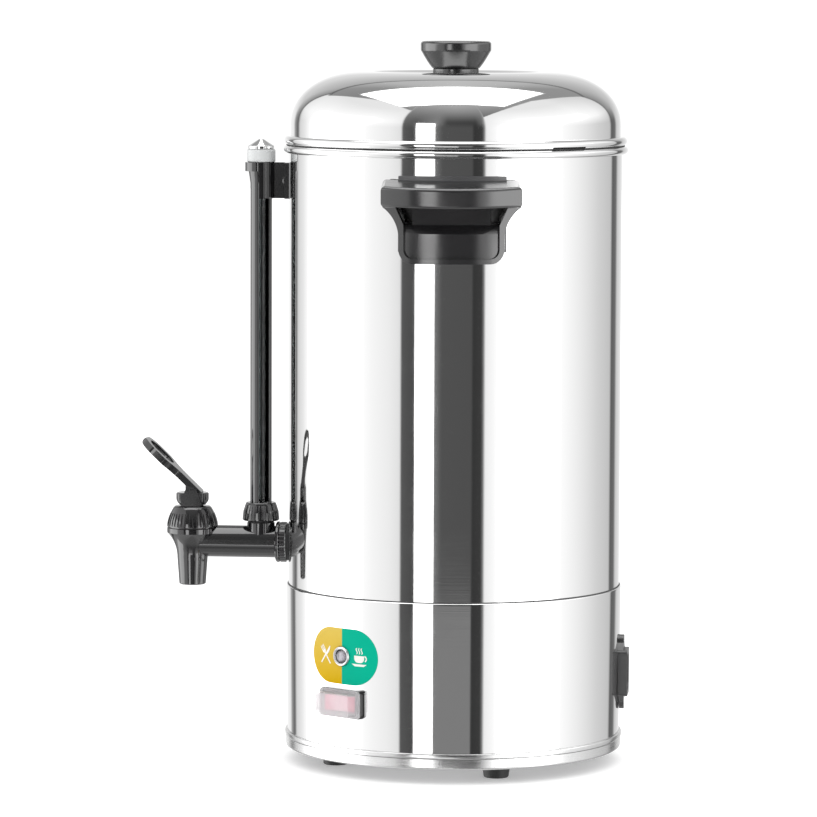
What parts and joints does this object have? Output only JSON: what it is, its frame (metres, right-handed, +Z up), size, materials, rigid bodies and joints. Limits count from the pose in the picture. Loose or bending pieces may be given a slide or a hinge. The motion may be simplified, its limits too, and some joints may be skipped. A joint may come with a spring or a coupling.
{
  "type": "coffee urn",
  "caption": "Polished steel coffee percolator urn with lever tap, sight gauge, domed lid, moulded side handles, rocker switch, indicator lamp and mains inlet.",
  "frame": {"origin": "on the body's axis at the table, where the feet stand", "axes": "+Z up, -Y out through the tap, +X towards the handle on the tap's left as seen from the tap"},
  "size_m": [0.3072, 0.3282, 0.4815],
  "materials": {
    "polished_steel": "mirror-polished stainless steel",
    "satin_steel": "satin stainless steel",
    "inner_steel": "bright-rolled stainless steel",
    "plated_steel": "zinc-plated fixings",
    "handle_plastic": "glossy black moulding",
    "tap_plastic": "glossy black moulding",
    "valve_plastic": "natural acetal",
    "silicone": "food-grade silicone",
    "foot_rubber": "black rubber",
    "gauge_glass": "clear borosilicate tube",
    "ferrule_plastic": "light grey moulding",
    "switch_plastic": "black moulding",
    "rocker_plastic": "lit red rocker",
    "hood_silicone": "translucent silicone",
    "label_film": "printed film, amber and green halves",
    "lens": "clear lamp lens",
    "inlet_plastic": "black thermoset",
    "contact_brass": "nickel-washed brass",
    "heater_alloy": "oxidised heater sheath",
    "sensor_ceramic": "ceramic and phenolic"
  },
  "bodies": {
    "base": {"tank": "polished_steel", "base_skirt": "polished_steel", "base_pan": "satin_steel", "feet": "foot_rubber", "foot_screws": "plated_steel", "heating_element": "heater_alloy", "thermostat": "sensor_ceramic", "thermal_cutout": "sensor_ceramic", "handle_right": "handle_plastic", "handle_left": "handle_plastic", "handle_plate_right": "handle_plastic", "handle_plate_left": "handle_plastic", "handle_studs": "plated_steel", "tap_body": "tap_plastic", "tap_nut": "tap_plastic", "tap_seal": "foot_rubber", "shank_washer": "silicone", "shank_nut": "plated_steel", "tap_bonnet": "tap_plastic", "tap_spring": "plated_steel", "gauge_nut": "tap_plastic", "gauge_seal": "foot_rubber", "gauge_glass": "gauge_glass", "gauge_shield": "tap_plastic", "gauge_ferrule": "ferrule_plastic", "gauge_cap": "polished_steel", "gauge_bracket": "tap_plastic", "bracket_rivets": "tap_plastic", "switch_body": "switch_plastic", "switch_cover": "hood_silicone", "lamp_bezel": "polished_steel", "lamp_lens": "lens", "indicator_label": "label_film", "inlet_housing": "inlet_plastic", "inlet_pins": "contact_brass", "inlet_screws": "plated_steel"},
    "stem": {"tap_stem": "valve_plastic", "seat_cup": "silicone"},
    "lever": {"tap_lever": "tap_plastic", "lever_pin": "plated_steel"},
    "rocker": {"switch_rocker": "rocker_plastic"},
    "percolator": {"riser_tube": "inner_steel", "riser_foot": "inner_steel"},
    "basket": {"filter_basket": "inner_steel"},
    "cover": {"basket_cover": "inner_steel"},
    "lid": {"lid": "polished_steel", "lid_knob": "handle_plastic", "knob_collar": "handle_plastic", "knob_screw": "plated_steel"}
  },
  "joints": [
    {"name": "stem_lift", "type": "slide", "parent": "base", "child": "stem", "axis": [0, 0, 1], "range_m": [0, 0.0032], "deforming": ["tap_spring"]},
    {"name": "lever_tilt", "type": "hinge", "parent": "stem", "child": "lever", "pos_m": [0, -0.177, 0.17375], "axis": [1, 0, 0], "range_deg": [0, 30], "stiffness_Nm_per_rad": 0.022, "springref_deg": -45.84},
    {"name": "switch_rock", "type": "hinge", "parent": "base", "child": "rocker", "pos_m": [0.08964, -0.06418, 0.0496], "axis": [0, 0, 1], "range_deg": [-18, 0]},
    {"name": "percolator_lift", "type": "slide", "parent": "base", "child": "percolator", "axis": [0, 0, 1], "range_m": [0, 0.31]},
    {"name": "basket_lift", "type": "slide", "parent": "percolator", "child": "basket", "axis": [0, 0, 1], "range_m": [0, 0.15]},
    {"name": "cover_lift", "type": "slide", "parent": "basket", "child": "cover", "axis": [0, 0, 1], "range_m": [0, 0.06]},
    {"name": "lid_lift", "type": "slide", "parent": "cover", "child": "lid", "axis": [0, 0, 1], "range_m": [0, 0.1]}
  ],
  "couplings": [
    {"joint": "lever_tilt", "follows": "stem_lift", "rad_per_m": 163.4}
  ]
}
